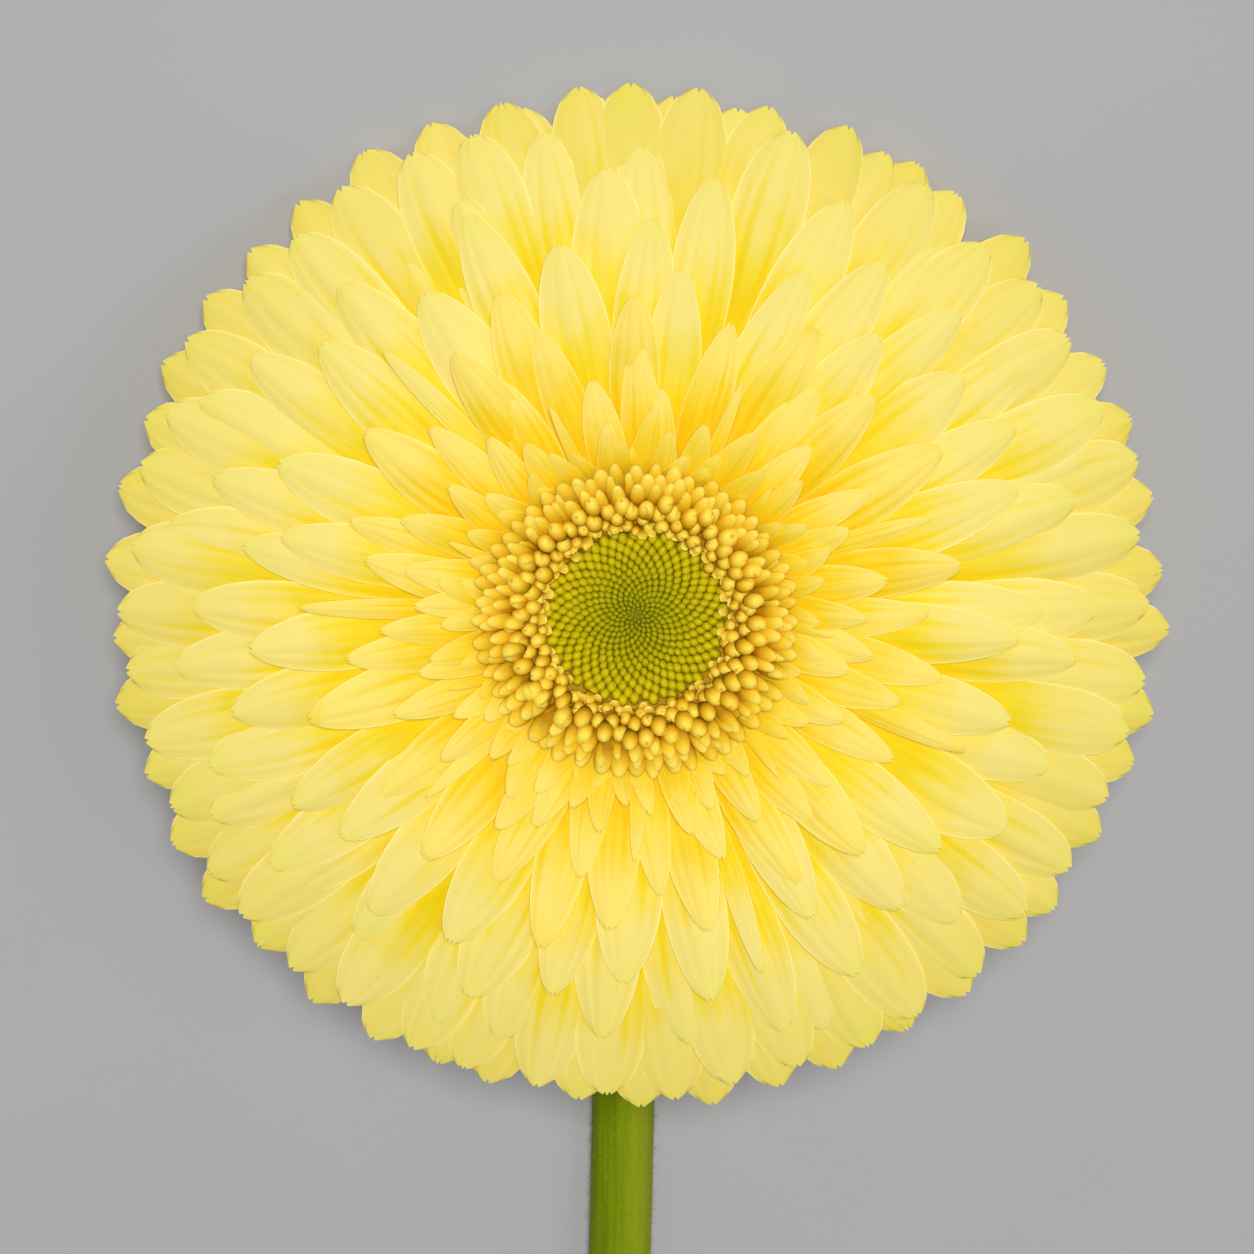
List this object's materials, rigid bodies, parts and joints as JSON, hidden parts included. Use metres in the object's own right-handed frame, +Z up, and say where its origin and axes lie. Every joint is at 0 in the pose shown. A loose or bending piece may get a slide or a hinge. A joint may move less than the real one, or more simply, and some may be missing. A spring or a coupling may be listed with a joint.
{
  "type": "gerbera stem",
  "caption": "Cut double gerbera, a pale lemon flower with a golden ring and green eye on a bare green stem, laid down face up to dress a table or fill a bunch.",
  "frame": {"origin": "on the surface, at the flat underside of the lying stem, 10 mm before its neck rises to the flower head", "axes": "+Y along the stem towards the flower head, +Z up from the surface, +X to the right with the head at the top"},
  "size_m": [0.1159, 0.4124, 0.0474],
  "materials": {
    "stem": "satin",
    "involucre": "matte",
    "ray_florets": "matte",
    "trans_florets": "satin",
    "disc_florets": "matte"
  },
  "bodies": {
    "root": {"stem": "stem", "involucre": "involucre", "ray_florets": "ray_florets", "trans_florets": "trans_florets", "disc_florets": "disc_florets"}
  },
  "joints": []
}
